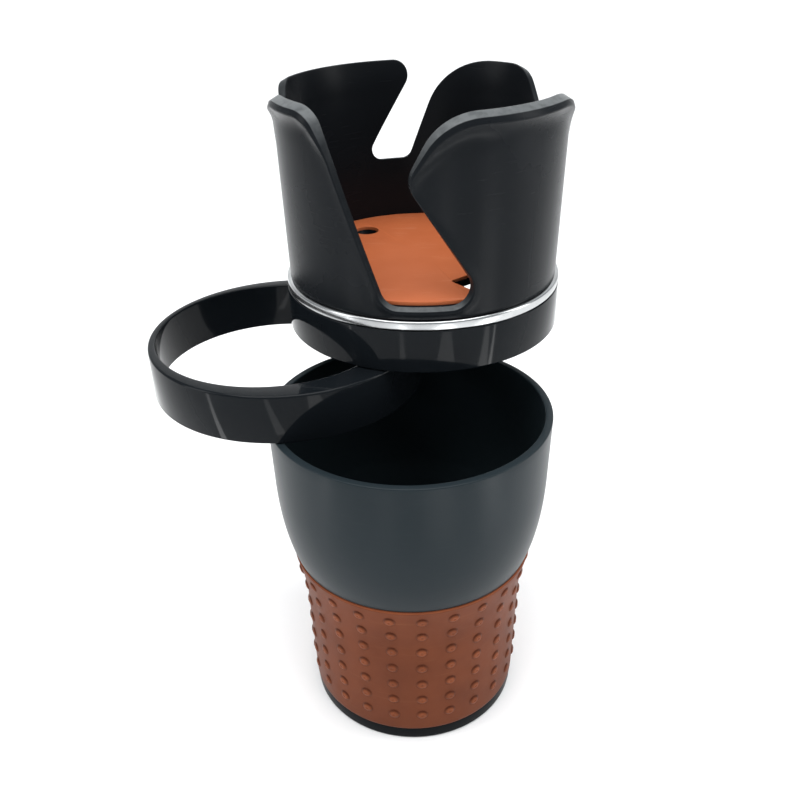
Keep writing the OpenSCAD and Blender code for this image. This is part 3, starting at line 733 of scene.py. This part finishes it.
def inwardNormals(chain):
    # from each point of the chain straight into the wall
    t = np.zeros_like(chain)
    t[1:-1] = chain[2:] - chain[:-2]
    t[0], t[-1] = (1, 0), (1, 0)
    t /= np.linalg.norm(t, axis=1)[:, None]
    n = np.stack([t[:, 1], -t[:, 0]], 1)  # right of the travel
    for _ in range(2):  # evens out the corners
        n[1:-1] = (n[:-2] + 2 * n[1:-1] + n[2:]) / 4
        n /= np.linalg.norm(n, axis=1)[:, None]
    return n


def nearest(points, chain):
    # distance from each point to the chain, and the chain's point there
    dist = np.empty(len(points))
    foot = np.empty((len(points), 2))
    a, b = chain[:-1], chain[1:]
    ab = b - a
    ll = (ab ** 2).sum(1)
    for i, p in enumerate(points):
        t = np.clip(((p - a) * ab).sum(1) / ll, 0, 1)
        q = a + ab * t[:, None]
        d2 = ((p - q) ** 2).sum(1)
        j = int(d2.argmin())
        dist[i], foot[i] = math.sqrt(d2[j]), q[j]
    return dist, foot


def insidePolygon(points, poly):
    # which of the points lie inside
    x, y = points[:, 0], points[:, 1]
    hit = np.zeros(len(points), bool)
    for (xa, ya), (xb, yb) in zip(poly, np.roll(poly, -1, axis=0)):
        if ya == yb:
            continue
        hit ^= ((ya > y) != (yb > y)) & (x < (xb - xa) * (y - ya) / (yb - ya) + xa)
    return hit


def sheetOutline(inner, x0, x1, lowZ):
    # outline of the sheet below the rim strip; also where its foot begins in it, and the foot's count
    g = upperCup["grid"]
    sideCount = int((inner[0, 1] - lowZ) / g)
    sideZ = np.linspace(inner[0, 1], lowZ, sideCount + 1)[1:-1]
    lowCount = int((x1 - x0) / (2 * g)) + 1
    right = np.stack([np.full(len(sideZ), x1), sideZ], 1)
    low = np.stack([np.linspace(x1, x0, lowCount), np.full(lowCount, lowZ)], 1)
    left = np.stack([np.full(len(sideZ), x0), sideZ[::-1]], 1)
    return np.concatenate([inner, right, low, left]), len(inner) + len(right), lowCount


def fillSheet(outline, inner, x0, x1, lowZ):
    # points of the sheet, its triangles, and which point each point of the outline became
    g = upperCup["grid"]
    xs = np.arange(x0 + g, x1 - g * 0.5, g)
    rows = []
    for i, z in enumerate(np.arange(lowZ + g * 0.9, crestZ, g * 0.87)):
        rows.append(np.stack([xs + (g / 2 if i % 2 else 0), np.full(len(xs), z)], 1))
    points = np.concatenate(rows)
    points = points[points[:, 0] < x1 - g * 0.6]
    points = points[insidePolygon(points, outline)]
    points = points[nearest(points, inner)[0] > g * 0.6]
    n = len(outline)
    coords = [Vector(p) for p in np.concatenate([outline, points])]
    edges = [(i, (i + 1) % n) for i in range(n)]
    verts, _, faces, origin = delaunay_2d_cdt(coords, edges, [], 0, 1e-5, True)[:4]
    flat = np.array([(p.x, p.y) for p in verts])
    centres = np.array([flat[list(f)].mean(0) for f in faces])
    faces = [f for f, ok in zip(faces, insidePolygon(centres, outline)) if ok]
    became = {source: i for i, sources in enumerate(origin) for source in sources}
    return flat, faces, became


def rimSection(k, depth, outer, inner):
    # across the rim: outer face, sloping facet, rounded inner edge
    v = upperCup
    tip = v["wall"] + lipReach(k)
    section = [(depth, outer, 0),
               ((v["facet"] + v["face"]) * k, tip, v["faceRound"] * k),
               (v["facet"] * k, tip - v["faceLean"] * k, v["tipRound"] * k + 0.08),
               (0, float(flareIn(0, k)), 0.25 + 0.1 * k),
               (depth, inner, 0)]
    return roundedPath(section, closed=False, steps=6)


def lipHighlight(k, z, upward):
    # painted highlight: grows with the lip's size, but not down in the front slot, and with how far the edge
    # faces up
    v = upperCup
    share = max(0, (k - v["edgeLow"]) / (1 - v["edgeLow"])) ** 2
    if z < cupLow + v["highlightFrom"]:
        share = 0
    return v["highlightLow"] + (1 - v["highlightLow"]) * max(share, v["sillHighlight"] * max(0, upward) ** 4)


def buildCupWall(bm):
    v = upperCup
    # painted highlight on the lip, held on the vertices
    painted_light = bm.verts.layers.float.new("painted_light")  # made before the vertices, which it would spoil
    chain, x0, x1 = topChain()
    normals = inwardNormals(chain)
    k = edgeSize(chain[:, 0], chain[:, 1])
    depth = v["facet"] * k + v["beadL"] * k + 0.35
    inner = chain + normals * depth[:, None]
    inner[0], inner[-1] = (x0, crestZ - depth[0]), (x1, crestZ - depth[-1])
    lowZ = cupLow + v["footUp"]
    outline, footStart, footCount = sheetOutline(inner, x0, x1, lowZ)
    flat, faces, became = fillSheet(outline, inner, x0, x1, lowZ)
    d, foot = nearest(flat, chain)
    size = edgeSize(foot[:, 0], foot[:, 1])
    nOut = v["wall"] + flareOut(d, size)
    nIn = flareIn(d, size)
    ends = [became[i] for i in range(len(inner))]
    # the strip's own ends use the depth that they were set at, so that both join without a step
    for j, i in enumerate(ends):
        nOut[i] = v["wall"] + flareOut(depth[j], k[j])
        nIn[i] = flareIn(depth[j], k[j])
    outerV = [bm.verts.new(toWorld(x, z, n)) for (x, z), n in zip(flat, nOut)]
    innerV = [bm.verts.new(toWorld(x, z, n)) for (x, z), n in zip(flat, nIn)]
    for f in faces:
        bm.faces.new([outerV[i] for i in f])
        bm.faces.new([innerV[i] for i in reversed(f)])
    # rim strip, with its painted highlight from the outer face over the edge to the inside
    facetHighlight = [0] * 9 + [0.2, 0.5, 0.8, 1, 1, 1, 1, 1, 1, 0.8, 0.5, 0.2, 0]
    lipLight = np.interp(np.degrees(chain[:, 0] / v["wallR"]), *zip(*v["lipHighlightByAz"]))
    last = None
    for j, i in enumerate(ends):
        path = rimSection(k[j], depth[j], nOut[i], nIn[i])
        mid = path[1:-1]
        mid.insert(14, mid[13].lerp(mid[14], 0.5))
        inside = [mid[-1].lerp(path[-1], t) for t in (0.2, 0.5)]
        # strength of the lip's painted highlight, from its size and how far the edge faces up
        wear = lipHighlight(k[j], chain[j][1], -normals[j, 1])
        strip = [outerV[i]]
        for p, facetLight in zip(mid + inside, facetHighlight + [0, 0]):
            q = chain[j] + normals[j] * p.x
            vert = bm.verts.new(toWorld(q[0], q[1], p.y))
            vert[painted_light] = lipLight[j] * facetLight * wear
            strip.append(vert)
        strip.append(innerV[i])
        if last:
            skin(bm, last, strip)
        last = strip
    # foot of the wall
    last = None
    for j in range(footStart, footStart + footCount):
        i = became[j]
        low = [(cupLow + 0.12, 1.9), (cupLow, 1.6), (cupLow, 0.6)]
        strip = [outerV[i]] + [bm.verts.new(toWorld(flat[i, 0], z, n)) for z, n in low] + [innerV[i]]
        if last:
            skin(bm, last, strip, flip=True)
        last = strip


def prism(name, outline, z0, z1):
    # outline is about the cup's axis
    bm = bmesh.new()
    a, b = [[bm.verts.new((cupC.x + p.x, cupC.y + p.y, z)) for p in outline] for z in (z0, z1)]
    skin(bm, a, b, closed=True, flip=True)
    bm.faces.new(a)
    bm.faces.new(list(reversed(b)))
    return makeObject(name, bm)


def openings(openOut, z):
    # cutters for the cable opening and the finger hole of a plate that lies at z
    v = upperCup
    out = onCircle(math.radians(v["openAz"]))
    side = Vector((-out.y, out.x))
    w = v["openW"] / 2
    rect = [(v["openIn"], -w, 1.2), (openOut, -w, 1.0), (openOut, w, 1.0), (v["openIn"], w, 1.2)]
    cable = [out * p.x + side * p.y for p in roundedPath(rect, steps=6)]
    c = onCircle(math.radians(v["fingerAz"])) * v["fingerPlace"]
    finger = [c + onCircle(t) * v["fingerR"] for t in np.linspace(0, 2 * math.pi, 41)[:-1]]
    under, over = z - 2, z + 4
    return [prism("cable", cable, under, over), prism("finger", finger, under, over)]


def buildUpperCup():
    v = upperCup
    bm = bmesh.new()
    buildCupWall(bm)
    wall = makeObject("upper_cup_moulding", bm, 48)
    floorTop = v["floorZ"] + v["floorT"]
    bm = bmesh.new()
    lathe(bm, roundedPath([(0, v["floorZ"], 0), (v["spigotIn"], v["floorZ"], 0.6),
                           (v["spigotIn"], v["spigotLow"], 0.3), (v["spigotR"], v["spigotLow"], 0.4),
                           (v["spigotR"], cupLow - 0.1, 0), (v["floorLowR"], cupLow + v["footUp"], 0),
                           (v["floorR"], floorTop, 0), (0, floorTop, 0)]), closed=False, centre=cupC)
    floor = makeObject("floor", bm)
    cutWith(floor, openings(v["openOut"], v["floorZ"]))
    low, top = collarLow + collarValues["flangeT"] + 0.05, v["floorZ"] + 0.5
    bosses = []
    for place in screwPlaces():
        bm = bmesh.new()
        lathe(bm, roundedPath([(v["bossIn"], low, 0), (v["bossR"], low, 0.3), (v["bossR"], top, 0),
                               (v["bossIn"], top, 0)]), 40, centre=place)
        bosses.append(makeObject("boss", bm))
    joinInto(wall, [floor] + bosses)
    return wall


cup = buildUpperCup()
finishPiece(cup, cupPlastic, "cup", "upper_cup")
print("upper cup built", len(cup.data.polygons))


# mat
matValues = {"r": 40.5, "z": 144.6, "t": 1.2, "edge": 0.3, "edgeSteps": 3, "edgeFrom": 40, "openOut": 46}


def buildMat():
    v = matValues
    top = v["z"] + v["t"]
    bm = bmesh.new()
    lathe(bm, [(0, v["z"]), (v["r"], v["z"]), (v["r"], top), (0, top)], 160, closed=False, centre=cupC)
    obj = makeObject("cup_mat_rubber", bm)
    cutWith(obj, openings(v["openOut"], v["z"]))
    m = obj.modifiers.new("edges", "BEVEL")
    m.width, m.segments = v["edge"] * mm, v["edgeSteps"]
    m.limit_method, m.angle_limit = "ANGLE", math.radians(v["edgeFrom"])
    mesh = applyModifiers(obj)
    mesh.shade_smooth()
    mesh.set_sharp_from_angle(angle=math.radians(35))
    return obj


cupMat = buildMat()
finishPiece(cupMat, matRubber, "cup", "cup_mat")
print("mat built", len(cupMat.data.polygons))


# hardware keeps its own shape
for name, node in nodes.items():
    if node.hide_render:
        continue
    node.data.materials.clear()
    node.data.materials.append(nylon if "thrust" in name else steel)
print("hardware painted")


# floor, light and camera
studio = {"worldColour": (0.93, 0.97, 1), "world": 0.56,
          # place, target, size in metres, watts
          "lamps": {"top_light": ((0, -0.25, 1.2), (0, 0, 0.1), (1.2, 0.9), 15),
                    "back_light": ((0, 0.35, 1.7), (0, 1.5, 0.7), (1.6, 0.6), 14),
                    "left_light": ((-0.9, -0.3, 0.5), (0, 0, 0.12), (0.35, 0.9), 3.2),
                    "right_light": ((0.95, -0.1, 0.45), (0, 0, 0.12), (0.3, 0.9), 3)},
          # strips on the floor, which show as upright streaks in the gloss: turn, width, watts
          "streaks": ((-31, 0.012, 0.09), (-9, 0.02, 0.06), (9, 0.06, 0.2), (26, 0.03, 0.16),
                      (29.5, 0.01, 0.12)),
          "streakL": 0.44, "streakMid": 0.36}
paperValues = {"colour": (0.9, 0.9, 0.9), "colour2": (0.88, 0.88, 0.88),
               "wornColour": (0.85, 0.85, 0.85), "wear": 0.05,
               "rough": 0.7, "roughVary": 0.03, "bump": 0.05,
               "grain": 300, "blotchScale": 3, "scratchScale": 4}


def buildBackdrop():
    # paper that lies flat, bends up behind the object and stands; metres
    front, bend, radius, halfWidth = -1.4, 0.9, 0.7, 2.6
    back, top = 1.6, 2.4
    arc = [(bend + radius * math.sin(t), radius - radius * math.cos(t))
           for t in np.linspace(0, math.pi / 2, 17)]
    path = [(front, 0)] + arc + [(back, top)]
    bm = bmesh.new()
    rows = [[bm.verts.new((x, y, z)) for y, z in path] for x in (-halfWidth, halfWidth)]
    skin(bm, rows[0], rows[1])
    mesh = bpy.data.meshes.new("sweep")
    bm.to_mesh(mesh)
    bm.free()
    mesh.shade_smooth()
    sweep = link(bpy.data.objects.new("sweep", mesh))
    mesh.materials.append(newMaterial("floor_paper", paperValues))


def buildWorld():
    world = bpy.data.worlds.new("studio")
    bpy.context.scene.world = world
    world.use_nodes = True
    back = world.node_tree.nodes["Background"]
    back.inputs["Color"].default_value = (*studio["worldColour"], 1)
    back.inputs["Strength"].default_value = studio["world"]


def softbox(name, place, turn, size, power):
    data = bpy.data.lights.new(name, "AREA")
    data.shape, data.size, data.size_y, data.energy = "RECTANGLE", size[0], size[1], power
    lamp = link(bpy.data.objects.new(name, data))
    lamp.location = place
    lamp.rotation_mode = "QUATERNION"
    lamp.rotation_quaternion = turn
    lamp.visible_camera = False


def floorStreak(name, turn, width, power):
    # lies flat before the upper cup and shines up
    w = math.radians(turn)
    reach = tierR * mm
    start = Vector((cupC.x * mm + reach * math.sin(w), cupC.y * mm - reach * math.cos(w), 0.001))
    out = Vector((math.sin(2 * w), -math.cos(2 * w), 0))
    down = Vector((0, 0, -1))
    facing = Matrix((out.cross(down), out, down)).transposed().to_quaternion()
    softbox(name, start + out * studio["streakMid"], facing, (width, studio["streakL"]), power)


buildBackdrop()
buildWorld()
for name, (place, target, size, power) in studio["lamps"].items():
    softbox(name, place, (Vector(target) - Vector(place)).to_track_quat("-Z", "Y"), size, power)
for i, (turn, width, power) in enumerate(studio["streaks"]):
    floorStreak("streak_%d" % i, turn, width, power)
bpy.context.scene.view_settings.view_transform = "Standard"
print("lamps set")

# as the photo was taken; angles in radians
shot = {"lens": 39.91, "sensor": 36, "near": 0.01, "place": (0, -0.23767, 0.24687),
        "yaw": -0.0128, "pitch": 0.5189, "roll": -0.0220}


def placeCamera():
    cosYaw, sinYaw = math.cos(shot["yaw"]), math.sin(shot["yaw"])
    cosPitch, sinPitch = math.cos(shot["pitch"]), math.sin(shot["pitch"])
    cosRoll, sinRoll = math.cos(shot["roll"]), math.sin(shot["roll"])
    ahead = Vector((sinYaw * cosPitch, cosYaw * cosPitch, -sinPitch))
    right = Vector((cosYaw, -sinYaw, 0))
    up = right.cross(ahead)
    camX, camY = right * cosRoll + up * sinRoll, up * cosRoll - right * sinRoll
    data = bpy.data.cameras.new("photo_camera")
    data.lens, data.sensor_width, data.clip_start = shot["lens"], shot["sensor"], shot["near"]
    cam = link(bpy.data.objects.new("photo_camera", data))
    axes = Matrix((camX, camY, -ahead)).transposed().to_4x4()
    cam.matrix_world = Matrix.Translation(shot["place"]) @ axes
    bpy.context.scene.camera = cam


placeCamera()
print("camera set")
